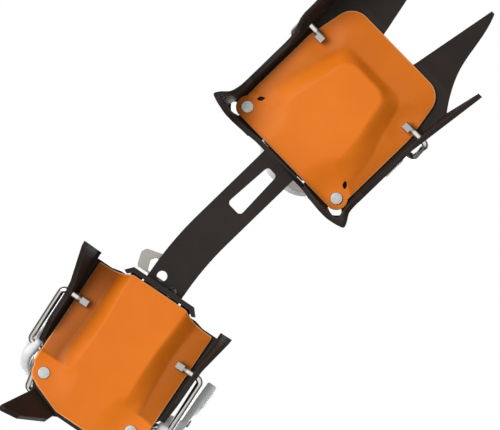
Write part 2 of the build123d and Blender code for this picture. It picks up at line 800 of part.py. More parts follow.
spring_wire = 1.0
spring_turns = 6
spring_start = knuckle_right + 1.2
spring_pitch = 1.25
with BuildPart() as lever_spring:
    with BuildLine():
        coil = Helix(
            pitch=spring_pitch, height=spring_pitch * spring_turns,
            radius=lever_pin / 2 + 0.1 + spring_wire / 2,
            center=(spring_start, lever_pivot_y, lever_pivot_z), direction=(1, 0, 0),
        )
    with BuildSketch(Plane(origin=coil @ 0, z_dir=coil % 0)):
        Circle(spring_wire / 2)
    sweep(path=coil, is_frenet=True)

bar_stop_rivet.part.locate(stop_place)
lever_hinge = Location((0, lever_pivot_y, lever_pivot_z))
raised = lever_hinge * Location((0, 0, 0), (lever_raised, 0, 0)) * lever_hinge.inverse()
for lifted in (length_lever, lock_stud):
    lifted.part.locate(rear_place * raised * lifted.part.location)

# ---- toe binding -----------------------------------------------------------------
def round_wire(route, radii):
    """Bail wire along the points, with bends of the given radii."""
    with BuildPart() as piece:
        with BuildLine() as path:
            FilletPolyline(*route, radius=radii)
        with BuildSketch(Plane(origin=path.line @ 0, z_dir=path.line % 0)):
            Circle(wire / 2)
        sweep(path=path.line)
    return piece.part


def hammered_head(x, y, z):
    """Flattened end of a wire that keeps it in its hole."""
    with BuildPart() as head:
        with Locations((x, y, z)):
            Box(head_size, head_size, wire)
        fillet(head.edges().filter_by(Axis.X), 0.8)
    return head.part


leg = radians(toe_wire_rake)
rake = radians(toe_rake)
crossing_y = front_lug_y - toe_wire_leg * cos(leg)
crossing_z = -lug_drop + toe_wire_leg * sin(leg)
toe_plane = Plane(
    origin=(0, crossing_y - toe_jog, crossing_z + toe_jog / 2),
    x_dir=(1, 0, 0), z_dir=(0, -sin(rake), -cos(rake)),
)
toe_wires = {}
for side, side_name in ((1, "outer"), (-1, "inner")):
    arm_end = toe_plane.from_local_coords((side * toe_arm_half, toe_wire_length, 0))
    with BuildPart() as toe_wire:
        add(round_wire(
            [
                (side * (front_half - head_reach + 1), front_lug_y, -lug_drop),
                (side * toe_outer, front_lug_y, -lug_drop),
                (side * toe_outer, crossing_y, crossing_z),
                toe_plane.from_local_coords((side * toe_arm_half, 0, 0)),
                arm_end,
            ],
            wire_bend,
        ))
        add(hammered_head(side * (front_half - head_reach), front_lug_y - head_set, -lug_drop))
    toe_wires[side_name] = toe_wire

with BuildPart() as toe_basket:
    with BuildSketch(toe_plane):
        with BuildLine():
            FilletPolyline(
                (toe_arm_half, basket_start), (toe_arm_half, toe_wire_length + 5),
                (basket_end_x + basket_end_half, basket_reach),
                (basket_end_x - basket_end_half, basket_reach),
                (-toe_arm_half, toe_wire_length + 5), (-toe_arm_half, basket_start),
                radius=[20, 19, 19, 20],
            )
        trace(line_width=basket_wall)
    extrude(amount=basket_band / 2, both=True)
    # the band starts low, so its lower corners are cut back above the frame
    with BuildSketch(along(-toe_outer)):
        with BuildLine():
            Polyline(
                (front_lug_y, -wall_depth), (front_lug_y, 1.5), (crossing_y - toe_jog, 1.5),
                (0, 1.5), (0, -wall_depth), close=True,
            )
        make_face()
    extrude(amount=2 * toe_outer, mode=Mode.SUBTRACT)
    for side in (1, -1):
        arm = toe_plane.from_local_coords((side * toe_arm_half, basket_start, 0))
        with BuildSketch(Plane(origin=arm, z_dir=toe_plane.y_dir)):
            Circle(socket / 2)
        extrude(amount=toe_wire_length + 3 - basket_start)
    for side in (1, -1):
        arm = toe_plane.from_local_coords((side * toe_arm_half, 0, 0))
        with BuildSketch(Plane(origin=arm, z_dir=toe_plane.y_dir)):
            Circle(wire / 2 + 0.02)
        extrude(amount=toe_wire_length + 0.1, mode=Mode.SUBTRACT)

# ---- heel binding ----------------------------------------------------------------
lift = tan(radians(heel_rake))


def on_heel_loop(x, back):
    """Point in the plane of the heel loop, so far behind its holes."""
    return (x, rear_lug_y - back, -lug_drop + back * lift)


with BuildPart() as heel_wire:
    half_route = [
        on_heel_loop(rear_half - head_reach + 1, 0), on_heel_loop(heel_outer, 0),
        on_heel_loop(heel_outer, heel_cross), on_heel_loop(heel_inner, heel_cross + 1),
        on_heel_loop(heel_back_half, heel_back),
    ]
    other_half = [(-x, y, z) for x, y, z in reversed(half_route)]
    add(round_wire(half_route + other_half, wire_bend))
    for side in (1, -1):
        add(hammered_head(side * (rear_half - head_reach), rear_lug_y, -lug_drop))

clip_place = on_heel_loop(0, heel_back)
cradle_inner = cradle_half + cradle_lean
cradle_outer = cradle_half - cradle_lean
with BuildPart() as heel_cradle:
    with BuildSketch(Plane.XY.offset(cradle_low)):
        with BuildLine():
            FilletPolyline(
                (cradle_inner, cradle_front_y - 14), (cradle_inner, -43),
                (cradle_inner - 12, cradle_back_y), (12 - cradle_outer, cradle_back_y),
                (-cradle_outer, -43), (-cradle_outer, cradle_front_y),
                radius=[14, 12, 12, 14],
            )
        trace(line_width=cradle_wall)
    extrude(amount=cradle_high - cradle_low)
    with BuildSketch(along(-80)):
        with BuildLine():
            side_view = FilletPolyline(
                (cradle_front_y + 1, 18), (cradle_front_y + 1, 34), (-24, 36),
                (-44, cradle_high), (-80, cradle_high), (-80, cradle_low - 1), (-16, cradle_low - 1),
                radius=[7, 20, 10, 2, 2],
            )
            Line(side_view @ 1, side_view @ 0)
        make_face()
    extrude(amount=160, mode=Mode.INTERSECT)
    for side in (1, -1):
        with BuildSketch(along(side * clip_x - clip_width / 2)):
            with Locations(clip_place[1:]):
                Circle(wire / 2 + 1.8)
            with Locations((clip_place[1], clip_place[2])):
                Rectangle(
                    cradle_back_y - clip_place[1], wire + 2.4, align=(Align.MIN, Align.CENTER)
                )
            with Locations(clip_place[1:]):
                Circle(wire / 2 + 0.02, mode=Mode.SUBTRACT)
        extrude(amount=clip_width)

with BuildPart() as cradle_rivets:
    for side_x, facing in ((cradle_inner, 1), (-cradle_outer, -1)):
        outside = side_x + facing * cradle_wall / 2
        with BuildSketch(Plane(origin=(outside, -26, 26), z_dir=(facing, 0, 0))):
            Circle(2.8)
        extrude(amount=1.3, taper=20)

pieces = {
    "front_frame": front_frame,
    "front_antiball_plate": front_antiball_plate,
    "front_plate_rivets": front_plate_rivets,
    "toe_wire_outer": toe_wires["outer"],
    "toe_wire_inner": toe_wires["inner"],
    "toe_basket": toe_basket,
    "linking_bar": linking_bar,
    "bar_stop_rivet": bar_stop_rivet,
    "length_lever": length_lever,
    "lock_stud": lock_stud,
}
rear_pieces = {
    "rear_frame": rear_frame,
    "rear_antiball_plate": rear_antiball_plate,
    "rear_plate_rivets": rear_plate_rivets,
    "bar_guide": bar_guide,
    "guide_rivets": guide_rivets,
    "lever_pivot_pin": lever_pivot_pin,
    "lever_spring": lever_spring,
    "heel_wire": heel_wire,
    "heel_cradle": heel_cradle,
    "cradle_rivets": cradle_rivets,
}
for piece in rear_pieces.values():
    piece.part.locate(rear_place)
for name, piece in (pieces | rear_pieces).items():
    piece.part.label = name
    export_step(piece.part, f"parts/{name}.step")
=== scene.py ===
import json
from math import radians

import bmesh
import bpy
import numpy as np
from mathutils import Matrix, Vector


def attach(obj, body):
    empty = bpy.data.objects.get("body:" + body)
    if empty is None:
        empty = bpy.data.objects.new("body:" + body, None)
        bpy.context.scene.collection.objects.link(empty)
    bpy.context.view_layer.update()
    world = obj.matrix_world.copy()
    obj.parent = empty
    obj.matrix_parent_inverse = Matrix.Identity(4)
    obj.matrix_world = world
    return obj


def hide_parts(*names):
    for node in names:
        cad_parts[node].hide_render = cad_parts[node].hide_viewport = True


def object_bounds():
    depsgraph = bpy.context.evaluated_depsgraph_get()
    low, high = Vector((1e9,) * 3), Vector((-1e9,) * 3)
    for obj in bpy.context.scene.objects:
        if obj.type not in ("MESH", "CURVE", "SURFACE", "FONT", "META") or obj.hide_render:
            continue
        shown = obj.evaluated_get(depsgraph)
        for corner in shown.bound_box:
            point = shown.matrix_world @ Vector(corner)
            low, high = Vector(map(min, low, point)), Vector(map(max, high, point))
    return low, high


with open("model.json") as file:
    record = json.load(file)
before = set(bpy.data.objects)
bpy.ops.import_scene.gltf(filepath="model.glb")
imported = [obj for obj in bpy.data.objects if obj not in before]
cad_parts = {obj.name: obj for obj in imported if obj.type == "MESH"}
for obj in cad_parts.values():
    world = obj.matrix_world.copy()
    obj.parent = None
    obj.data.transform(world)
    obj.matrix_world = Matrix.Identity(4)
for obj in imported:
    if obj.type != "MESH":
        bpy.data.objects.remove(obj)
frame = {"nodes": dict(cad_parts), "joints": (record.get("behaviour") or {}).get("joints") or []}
nodes = frame["nodes"]
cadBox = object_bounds()
mm = 0.001
weldDistance = 1e-6
print("frame loaded:", len(nodes), "nodes")


def fromHex(code):
    channels = [int(code[i:i + 2], 16) / 255 for i in (1, 3, 5)]
    linear = [c / 12.92 if c <= 0.04045 else ((c + 0.055) / 1.055) ** 2.4 for c in channels]
    return (*linear, 1.0)


def addNode(tree, kind, settings=None, links=None):
    node = tree.nodes.new(kind)
    for key, value in (settings or {}).items():
        if isinstance(key, str) and hasattr(node, key):
            setattr(node, key, value)
        else:
            node.inputs[key].default_value = value
    for key, source in (links or {}).items():
        tree.links.new(source, node.inputs[key])
    return node


joints = {joint["name"]: joint for joint in frame["joints"]}
rearStart = np.array(joints["heel_bail_hinge"]["pos_m"]) / mm
rearAcross = -np.array(joints["heel_bail_hinge"]["axis"], float)  # towards the outer side of the foot
rearAlong = np.array([-rearAcross[1], rearAcross[0], 0])  # towards the toes


def frontToWorld(point):
    return np.array(point, float)


def rearToWorld(point):
    place = rearStart + point[0] * rearAcross + point[1] * rearAlong
    return np.array([place[0], place[1], point[2]])


def rearFromWorld(point):
    away = np.array(point, float) - rearStart
    return float(away @ rearAcross), float(away @ rearAlong), float(point[2])


usualContrast = (0.3, 0.7)  # most values of a noise lie between these
noiseRoughness = 0.55


def patternedMaterial(look):
    # colour and roughness wander between two values with noises in Object coordinates;
    # cloud and grain are each a size in metres and a detail
    material = bpy.data.materials.new(look["name"])
    material.use_nodes = True
    tree = material.node_tree
    tree.nodes.clear()
    surface = addNode(tree, "ShaderNodeBsdfPrincipled", look["shader"])
    addNode(tree, "ShaderNodeOutputMaterial", links={"Surface": surface.outputs["BSDF"]})
    place = addNode(tree, "ShaderNodeTexCoord").outputs["Object"]
    scale = {"Scale": look.get("stretch", (1, 1, 1))}
    stretched = addNode(tree, "ShaderNodeMapping", scale, {"Vector": place}).outputs[0]
    noises = []
    for size, detail in (look["cloud"], look["grain"]):
        settings = {"Scale": 1 / size, "Detail": detail, "Roughness": noiseRoughness}
        noises.append(addNode(tree, "ShaderNodeTexNoise", settings, {"Vector": stretched}).outputs["Fac"])
    spread = []
    for noise, contrast, reach in (
        (noises[0], look.get("contrast", usualContrast), (0, 1)),
        (noises[1], usualContrast, look["roughness"]),
    ):
        settings = {"From Min": contrast[0], "From Max": contrast[1], "To Min": reach[0], "To Max": reach[1]}
        spread.append(addNode(tree, "ShaderNodeMapRange", settings, {"Value": noise}).outputs[0])
    share, roughness = spread
    first, second = look["colours"]
    settings = {"data_type": "RGBA", 6: fromHex(first), 7: fromHex(second)}
    colour = addNode(tree, "ShaderNodeMix", settings, {0: share}).outputs[2]
    tree.links.new(colour, surface.inputs["Base Color"])
    tree.links.new(roughness, surface.inputs["Roughness"])
    if "bump" in look:
        settings = dict(zip(("Strength", "Distance"), look["bump"]))
        height = share if look.get("bumpFollows") == "cloud" else noises[1]
        bump = addNode(tree, "ShaderNodeBump", settings, {"Height": height})
        tree.links.new(bump.outputs[0], surface.inputs["Normal"])
    return {"material": material, "tree": tree, "surface": surface, "place": place,
            "colour": colour, "roughness": roughness}


looks = {
    # spring steel under a thin dark powder coat: satin, with a faint orange-peel; the real peel is
    # near 0.4 mm and is drawn coarser so that it shows
    "coated_steel": {
        "name": "powder_coated_steel", "shader": {"Metallic": 0.0, "IOR": 1.5, "Specular IOR Level": 0.10},
        "cloud": (22 * mm, 2), "contrast": (0.35, 0.65), "colours": ("#2e2825", "#292421"),
        "grain": (0.75 * mm, 3), "roughness": (0.56, 0.70), "bump": (0.10, 0.015 * mm),
    },
    # flexible orange polyamide from a spark-eroded mould: satin, very fine grain, slightly lit from within
    "orange_plastic": {
        "name": "moulded_orange_plastic",
        "shader": {"IOR": 1.5, "Specular IOR Level": 0.14, "Subsurface Weight": 0.06,
                   "Subsurface Radius": (0.002, 0.0008, 0.0003)},
        "cloud": (30 * mm, 2), "colours": ("#e17819", "#dc7216"),
        "grain": (0.6 * mm, 2), "roughness": (0.44, 0.54), "bump": (0.12, 0.05 * mm),
    },
    # zinc-plated mild steel: dull silver with a pale bloom and faint turned marks
    "rivet_steel": {
        "name": "zinc_plated_steel", "shader": {"Metallic": 0.85},
        "cloud": (1.8 * mm, 4), "colours": ("#a9a6a1", "#9a9792"),
        "grain": (1.8 * mm, 4), "roughness": (0.38, 0.52), "bump": (0.1, 0.05 * mm), "bumpFollows": "cloud",
    },
    # bright-drawn stainless spring wire: a clear mirror with faint draw lines
    "stainless_wire": {
        "name": "drawn_stainless_wire", "shader": {"Metallic": 1.0}, "stretch": (3.0, 0.25, 3.0),
        "cloud": (1.2 * mm, 3), "colours": ("#f4efe8", "#dcd7d0"),
        "grain": (1.2 * mm, 3), "roughness": (0.07, 0.15), "bump": (0.06, 0.03 * mm),
    },
    # injection-moulded thermoplastic elastomer: soft satin pale grey, light passes a little way in
    "grey_plastic": {
        "name": "moulded_grey_elastomer",
        "shader": {"IOR": 1.48, "Specular IOR Level": 0.4, "Subsurface Weight": 0.15,
                   "Subsurface Radius": (0.003, 0.003, 0.0033)},
        "cloud": (18 * mm, 2), "colours": ("#e9ebec", "#e2e5e6"),
        "grain": (0.7 * mm, 2), "roughness": (0.38, 0.5), "bump": (0.1, 0.05 * mm),
    },
    # stainless sheet, linished along its length: pale grey with fine straight scratches
    "spring_steel": {
        "name": "linished_steel_sheet", "shader": {"Metallic": 0.7}, "stretch": (4.0, 0.15, 4.0),
        "cloud": (1.0 * mm, 4), "colours": ("#c4c0ba", "#b2aea8"),
        "grain": (1.0 * mm, 4), "roughness": (0.34, 0.5), "bump": (0.12, 0.04 * mm),
    },
    # oiled carbon-steel spring wire: darker and blue-grey
    "coil": {
        "name": "music_wire", "shader": {"Metallic": 1.0},
        "cloud": (0.8 * mm, 3), "colours": ("#7d7c7b", "#66686c"),
        "grain": (0.8 * mm, 3), "roughness": (0.24, 0.38),
    },
}

# the painted highlight along the coat's edges
edgeHighlight = {
    "radius": 0.45 * mm, "samples": 6, "flat": 0.97, "edge": 0.80,  # cosines between the two normals
    "patch": 1.6 * mm, "detail": 4,
    "broken": {"From Min": 0.30, "From Max": 0.62, "To Min": 0.25, "To Max": 1},
    "colour": "#5f5650",
}


def paintEdgeHighlight(parts):
    # a painted highlight: a paler, broken line along the edges, where the rounded normal leaves the true one
    tree = parts["tree"]
    settings = {"samples": edgeHighlight["samples"], "Radius": edgeHighlight["radius"]}
    rounded = addNode(tree, "ShaderNodeBevel", settings).outputs[0]
    true = addNode(tree, "ShaderNodeNewGeometry").outputs["Normal"]
    dot = addNode(tree, "ShaderNodeVectorMath", {"operation": "DOT_PRODUCT"}, {0: rounded, 1: true})
    settings = {"From Min": edgeHighlight["flat"], "From Max": edgeHighlight["edge"]}
    edge = addNode(tree, "ShaderNodeMapRange", settings, {"Value": dot.outputs["Value"]}).outputs[0]
    settings = {"Scale": 1 / edgeHighlight["patch"], "Detail": edgeHighlight["detail"], "Roughness": noiseRoughness}
    patches = addNode(tree, "ShaderNodeTexNoise", settings, {"Vector": parts["place"]}).outputs["Fac"]
    broken = addNode(tree, "ShaderNodeMapRange", edgeHighlight["broken"], {"Value": patches}).outputs[0]
    highlighted = addNode(tree, "ShaderNodeMath", {"operation": "MULTIPLY"}, {0: edge, 1: broken}).outputs[0]
    settings = {"data_type": "RGBA", 7: fromHex(edgeHighlight["colour"])}
    edgeLit = addNode(tree, "ShaderNodeMix", settings, {0: highlighted, 6: parts["colour"]})
    tree.links.new(edgeLit.outputs[2], parts["surface"].inputs["Base Color"])


# the plates' meshes carry painted light: painted shade where they are deep and a painted highlight along
# their edge; attribute, greatest share, colour
paintedPlateLight = [("paintedShade", 1.0, "#2c1405"), ("lip", 0.7, "#f6b27a")]


def paintPlateLight(parts):
    tree, colour = parts["tree"], parts["colour"]
    # mix the painted shade and the painted edge highlight into the plastic's colour
    for attribute, most, tone in paintedPlateLight:
        told = addNode(tree, "ShaderNodeAttribute", {"attribute_name": attribute}).outputs["Fac"]
        share = addNode(tree, "ShaderNodeMapRange", {"To Max": most}, {"Value": told}).outputs[0]
        settings = {"data_type": "RGBA", 7: fromHex(tone)}
        colour = addNode(tree, "ShaderNodeMix", settings, {0: share, 6: colour}).outputs[2]
    tree.links.new(colour, parts["surface"].inputs["Base Color"])


hammered = {
    "toeHole": (37.7, 61.3), "heelHole": (34.8, 0), "level": -9.5,
    "dull": {"From Min": 4.6 * mm, "From Max": 5.4 * mm, "To Min": 1, "To Max": 0},  # by distance from a head
    "colour": "#8d8984", "roughness": 0.3,
}


def dullHeads(parts):
    # the hammered heads lose the wire's mirror
    tree = parts["tree"]
    (toeX, toeY), (heelX, heelY), z = hammered["toeHole"], hammered["heelHole"], hammered["level"]
    heads = [frontToWorld((side * toeX, toeY, z)) for side in (1, -1)]
    heads += [rearToWorld((side * heelX, heelY, z)) for side in (1, -1)]
    away = None
    for head in heads:
        settings = {"operation": "DISTANCE", 1: tuple(head * mm)}
        one = addNode(tree, "ShaderNodeVectorMath", settings, {0: parts["place"]}).outputs["Value"]
        if away:
            one = addNode(tree, "ShaderNodeMath", {"operation": "MINIMUM"}, {0: away, 1: one}).outputs[0]
        away = one
    dull = addNode(tree, "ShaderNodeMapRange", hammered["dull"], {"Value": away}).outputs[0]
    settings = {"data_type": "RGBA", 7: fromHex(hammered["colour"])}
    colour = addNode(tree, "ShaderNodeMix", settings, {0: dull, 6: parts["colour"]}).outputs[2]
    settings = {"operation": "MULTIPLY_ADD", 1: hammered["roughness"]}
    rough = addNode(tree, "ShaderNodeMath", settings, {0: dull, 2: parts["roughness"]}).outputs[0]
    tree.links.new(colour, parts["surface"].inputs["Base Color"])
    tree.links.new(rough, parts["surface"].inputs["Roughness"])


madeOf = {finish: patternedMaterial(look) for finish, look in looks.items()}
paintEdgeHighlight(madeOf["coated_steel"])
paintPlateLight(madeOf["orange_plastic"])
dullHeads(madeOf["stainless_wire"])
finishes = {finish: parts["material"] for finish, parts in madeOf.items()}
finishOf = {
    "front_frame": "coated_steel", "rear_frame": "coated_steel", "linking_bar": "coated_steel",
    "bar_guide": "coated_steel",
    "front_antiball_plate": "orange_plastic", "rear_antiball_plate": "orange_plastic",
    "front_plate_rivets": "rivet_steel", "rear_plate_rivets": "rivet_steel",
    "bar_stop_rivet": "rivet_steel", "guide_rivets": "rivet_steel", "cradle_rivets": "rivet_steel",
    "toe_wire_outer": "stainless_wire", "toe_wire_inner": "stainless_wire",
    "heel_wire": "stainless_wire", "lever_pivot_pin": "rivet_steel", "lock_stud": "rivet_steel",
    "toe_basket": "grey_plastic", "heel_cradle": "grey_plastic",
    "length_lever": "spring_steel", "lever_spring": "coil",
}
for name, finish in finishOf.items():
    mesh = nodes[name].data
    mesh.materials.clear()
    mesh.materials.append(finishes[finish])
print("materials set")


def solidThrough(loops):
    # a closed solid through loops of places in metres, capped at both ends
    work = bmesh.new()
    rows = [[work.verts.new(Vector(place)) for place in loop] for loop in loops]
    for first, second in zip(rows, rows[1:]):
        for i in range(len(first)):
            j = (i + 1) % len(first)
            work.faces.new((first[i], first[j], second[j], second[i]))
    work.faces.new(rows[0])
    work.faces.new(list(reversed(rows[-1])))
    bmesh.ops.recalc_face_normals(work, faces=work.faces)
    shape = bpy.data.meshes.new("solid")
    work.to_mesh(shape)
    work.free()
    return shape


def prism(outline, low, high):
    return solidThrough([[(x * mm, y * mm, z * mm) for x, y in outline] for z in (low, high)])


def joinInto(mesh, shapes):
    work = bmesh.new()
    for shape in [mesh] + shapes:
        work.from_mesh(shape)
    work.to_mesh(mesh)
    work.free()


def newObject(name, mesh):
    piece = bpy.data.objects.new(name, mesh)
    bpy.context.scene.collection.objects.link(piece)
    return piece


def packedCopy(name, node):
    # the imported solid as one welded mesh
    shape = nodes[node].data.copy()
    work = bmesh.new()
    work.from_mesh(shape)
    bmesh.ops.remove_doubles(work, verts=work.verts, dist=weldDistance)
    work.to_mesh(shape)
    work.free()
    return newObject(name, shape)


def plainMesh(piece, name):
    # the evaluated shape as a plain mesh, with the modifiers taken off
    shape = bpy.data.meshes.new_from_object(piece.evaluated_get(bpy.context.evaluated_depsgraph_get()))
    shape.name = name
    piece.modifiers.clear()
    piece.data = shape
    return piece


def finishPiece(piece, finish, body, *replaced):
    piece.data.materials.clear()
    piece.data.materials.append(finishes[finish])
    if replaced:
        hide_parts(*replaced)
    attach(piece, body)
    return piece


# a corner whose half angle in radians passes straight is left as it is, and an arc's ends take at most
# this share of the shorter side
arc = {"steps": 14, "straight": 1.56, "share": 0.49}
domeCorner = {"radius": 9, "spacing": 1.5}


def roundedLoop(corners, radii, spacing):
    # closed outline with arcs at its corners, as evenly spaced points
    path = []
    count = len(corners)
    for i, corner in enumerate(corners):
        here = np.array(corner, float)
        before = np.array(corners[i - 1], float) - here
        after = np.array(corners[(i + 1) % count], float) - here
        lengths = np.linalg.norm(before), np.linalg.norm(after)
        before, after = before / lengths[0], after / lengths[1]
        half = np.arccos(np.clip(before @ after, -1, 1)) / 2
        if radii[i] <= 0 or half > arc["straight"]:
            path.append(here)
            continue
        reach = min(radii[i] / np.tan(half), arc["share"] * min(lengths))
        radius = reach * np.tan(half)
        middle = here + (before + after) / np.linalg.norm(before + after) * radius / np.sin(half)
        start, end = here + before * reach - middle, here + after * reach - middle
        sweep = np.arctan2(start[0] * end[1] - start[1] * end[0], start @ end)
        for step in np.linspace(0, sweep, arc["steps"]):
            turned = (start[0] * np.cos(step) - start[1] * np.sin(step),
                      start[0] * np.sin(step) + start[1] * np.cos(step))
            path.append(middle + np.array(turned))
    path = np.array(path + [path[0]])
    runs = np.r_[0, np.cumsum(np.linalg.norm(np.diff(path, axis=0), axis=1))]
    wanted = np.linspace(0, runs[-1], int(runs[-1] / spacing), endpoint=False)
    return np.c_[np.interp(wanted, runs, path[:, 0]), np.interp(wanted, runs, path[:, 1])]


def distanceInside(x, y, loop):
    # distance to a closed outline, positive inside it
    nearest = np.full(x.shape, 1e9)
    inside = np.zeros(x.shape, bool)
    for (x0, y0), (x1, y1) in zip(loop, np.roll(loop, -1, axis=0)):
        dx, dy = x1 - x0, y1 - y0
        share = np.clip(((x - x0) * dx + (y - y0) * dy) / (dx * dx + dy * dy + 1e-12), 0, 1)
        nearest = np.minimum(nearest, np.hypot(x - x0 - share * dx, y - y0 - share * dy))
        if y0 != y1:
            inside ^= ((y0 > y) != (y1 > y)) & (x < dx * (y - y0) / dy + x0)
    return np.where(inside, nearest, -nearest)


def ease(value):
    value = np.clip(value, 0, 1)
    return value * value * (3 - 2 * value)


def bothSides(points):
    return points + [(-x, y) for x, y in reversed(points)]


def softLoop(points):
    # the mirrored outline of a dome, its corners rounded
    return roundedLoop(bothSides(points), [domeCorner["radius"]] * 2 * len(points), domeCorner["spacing"])


def domeShare(x, y, plate):
    # 1 on the dome's flat and behind the pockets, 0 at the dome's foot, an eased slope between
    toCrest = np.maximum(-distanceInside(x, y, softLoop(plate["crest"])), 0)
    toFoot = np.maximum(distanceInside(x, y, softLoop(plate["foot"])), 0)
    share = toFoot / (toFoot + toCrest + 1e-9)
    flank = plate["roundness"] * ease(share) + (1 - plate["roundness"]) * share
    end = plate["pocketEnd"] - plate["pocketSlope"] * np.maximum(np.abs(x) - plate["pocketStart"], 0)
    behind = ease((end - y) / plate["pocketBlend"] + 0.5)
    return 1 - (1 - flank) * (1 - behind)


def domeDepth(x, y, plate):
    # how far the raised part stands below the rim
    along = ease((y - plate["depthFrom"]) / (plate["depthTo"] - plate["depthFrom"]))
    depth = plate["depthRear"] + (plate["depthFront"] - plate["depthRear"]) * along
    rivetX, rivetY = plate["rivet"]
    away = np.hypot(np.abs(x) - rivetX, y - rivetY)
    land = ease(1 - (away - plate["landRadius"]) / plate["landBlend"])
    return depth + (plate["landDepth"] - depth) * land


def tellPaintedLight(mesh, plate, places, lipStart, lipEnd):
    # painted shade: the deep ground between dome and wall is painted darker where shade falls, more on one
    # side than the other and most at the foot;
    # lip: a painted highlight along the plate's edge, where light glances off and shines through
    x, y = places[:, 0], places[:, 1]
    low = 1 - domeShare(x, y, plate)
    nearFoot = np.exp(-np.abs(distanceInside(x, y, softLoop(plate["foot"]))) / plate["shadeReach"])
    shade, power = np.where(x > 0, *plate["shade"]), np.where(x > 0, *plate["shadePower"])
    atFoot = plate["footShade"]
    # painted shade, darker on one side and next to the dome's foot
    paintedShade = mesh.attributes.new("paintedShade", "FLOAT", "POINT")
    paintedShade.data.foreach_set("value", shade * low ** power * (1 - atFoot + atFoot * nearFoot))
    # painted highlight along the lip
    lipHighlight = mesh.attributes.new("lip", "FLOAT", "POINT")
    lipHighlight.data.foreach_set("value", [float(lipStart <= i < lipEnd) for i in range(len(places))])


def mouldedPlate(name, plate, toWorld):
    # the sheet is rings between its outline and a centre, closed by a rounded lip
    outline = roundedLoop(
        bothSides(plate["outline"]), plate["outlineRadii"] + plate["outlineRadii"][::-1], plate["spacing"]
    )
    for side in (1, -1):  # the land bulges round its rivet
        rivet = np.array([side * plate["rivet"][0], plate["rivet"][1]])
        away = outline - rivet
        reach = np.linalg.norm(away, axis=1)[:, None]
        outline = np.where(reach < plate["bulge"], rivet + away / reach * plate["bulge"], outline)
    centre = np.array(plate["centre"], float)
    wall, rings = plate["wall"], plate["rings"]
    inset = 1 - wall / 2 / np.linalg.norm(outline - centre, axis=1)[:, None]
    edge = centre + (outline - centre) * inset

    def surface(points):
        # the flat round the dome falls away towards the outline
        x, y = points[:, 0], points[:, 1]
        dome = domeShare(x, y, plate)
        run = np.maximum(distanceInside(x, y, outline), 0)
        crown = plate["crownDepth"] * np.sin(np.clip(run / plate["crownRun"], 0, 1) * np.pi / 2)
        if "headRoom" in plate:  # the wire's hammered head turns here
            (headX, headY), (flat, blend) = hammered["toeHole"], plate["headRoom"]
            away = np.hypot(np.abs(x) - headX, y - headY)
            crown = crown * (1 - ease(1 - (away - flat) / blend))
        return np.c_[x, y, plate["rim"] - domeDepth(x, y, plate) * dome - crown * (1 - dome)]

    lift = np.array([0, 0, wall])
    front = [surface(centre + (edge - centre) * (ring / rings)) for ring in range(1, rings + 1)]
    lip = []
    for angle in np.linspace(0, np.pi, plate["lipSteps"])[1:-1]:
        out = edge + (outline - edge) * np.sin(angle)
        lip.append(np.c_[out, front[-1][:, 2] + wall / 2 * (1 - np.cos(angle))])
    allRings = front + lip + [ring + lift for ring in reversed(front)]
    tip = surface(centre[None])
    vertices = [tip] + allRings + [tip + lift]
    count = len(outline)
    faces = [(0, 1 + (i + 1) % count, 1 + i) for i in range(count)]
    for ring in range(len(allRings) - 1):
        a, b = 1 + ring * count, 1 + (ring + 1) * count
        faces += [(a + i, a + (i + 1) % count, b + (i + 1) % count, b + i) for i in range(count)]
    last, top = 1 + (len(allRings) - 1) * count, 1 + len(allRings) * count
    faces += [(top, last + i, last + (i + 1) % count) for i in range(count)]
    flatPlaces = np.vstack(vertices)
    coordinates = np.array([toWorld(v) for v in flatPlaces]) * mm
    mesh = bpy.data.meshes.new(name)
    mesh.from_pydata(coordinates.tolist(), [], faces)
    tellPaintedLight(mesh, plate, flatPlaces, 1 + rings * count, 1 + (rings + len(lip)) * count)
    work = bmesh.new()
    work.from_mesh(mesh)
    bmesh.ops.recalc_face_normals(work, faces=work.faces)
    work.to_mesh(mesh)
    work.free()
    mesh.polygons.foreach_set("use_smooth", [True] * len(mesh.polygons))
    return newObject(name, mesh)


def cutAway(piece, shape):
    tool = newObject("cutter", shape)
    cut = piece.modifiers.new("cut", "BOOLEAN")
    cut.operation, cut.object, cut.solver = "DIFFERENCE", tool, "EXACT"
    plainMesh(piece, piece.name)
    bpy.data.objects.remove(tool)


# a rivet's hole by length, width, turn and point; a drain is a pointed oval
opening = {"sides": 32, "levels": (-22, 3), "rivet": (4.1, 4.08, 0, 0), "drainPoint": 0.7}


def cutThrough(piece, openings, toWorld):
    # each opening: middle, length, width, turn in degrees, and how pointed its ends are
    shapes = []
    for (x, y), length, width, turn, pointed in openings:
        straight = (length - width) / 2
        ring = []
        for i in range(opening["sides"]):
            angle = 2 * np.pi * (i + 0.5) / opening["sides"]
            u = np.cos(angle) * width / 2 + (straight if np.cos(angle) > 0 else -straight)
            v = np.sin(angle) * width / 2
            if pointed:
                u, v = np.cos(angle) * length / 2, v * abs(np.sin(angle)) ** pointed
            c, s = np.cos(radians(turn)), np.sin(radians(turn))
            ring.append((x + u * c - v * s, y + u * s + v * c))
        levels = [[toWorld((*place, z)) * mm for place in ring] for z in opening["levels"]]
        shapes.append(solidThrough(levels))
    joinInto(shapes[0], shapes[1:])
    cutAway(piece, shapes[0])


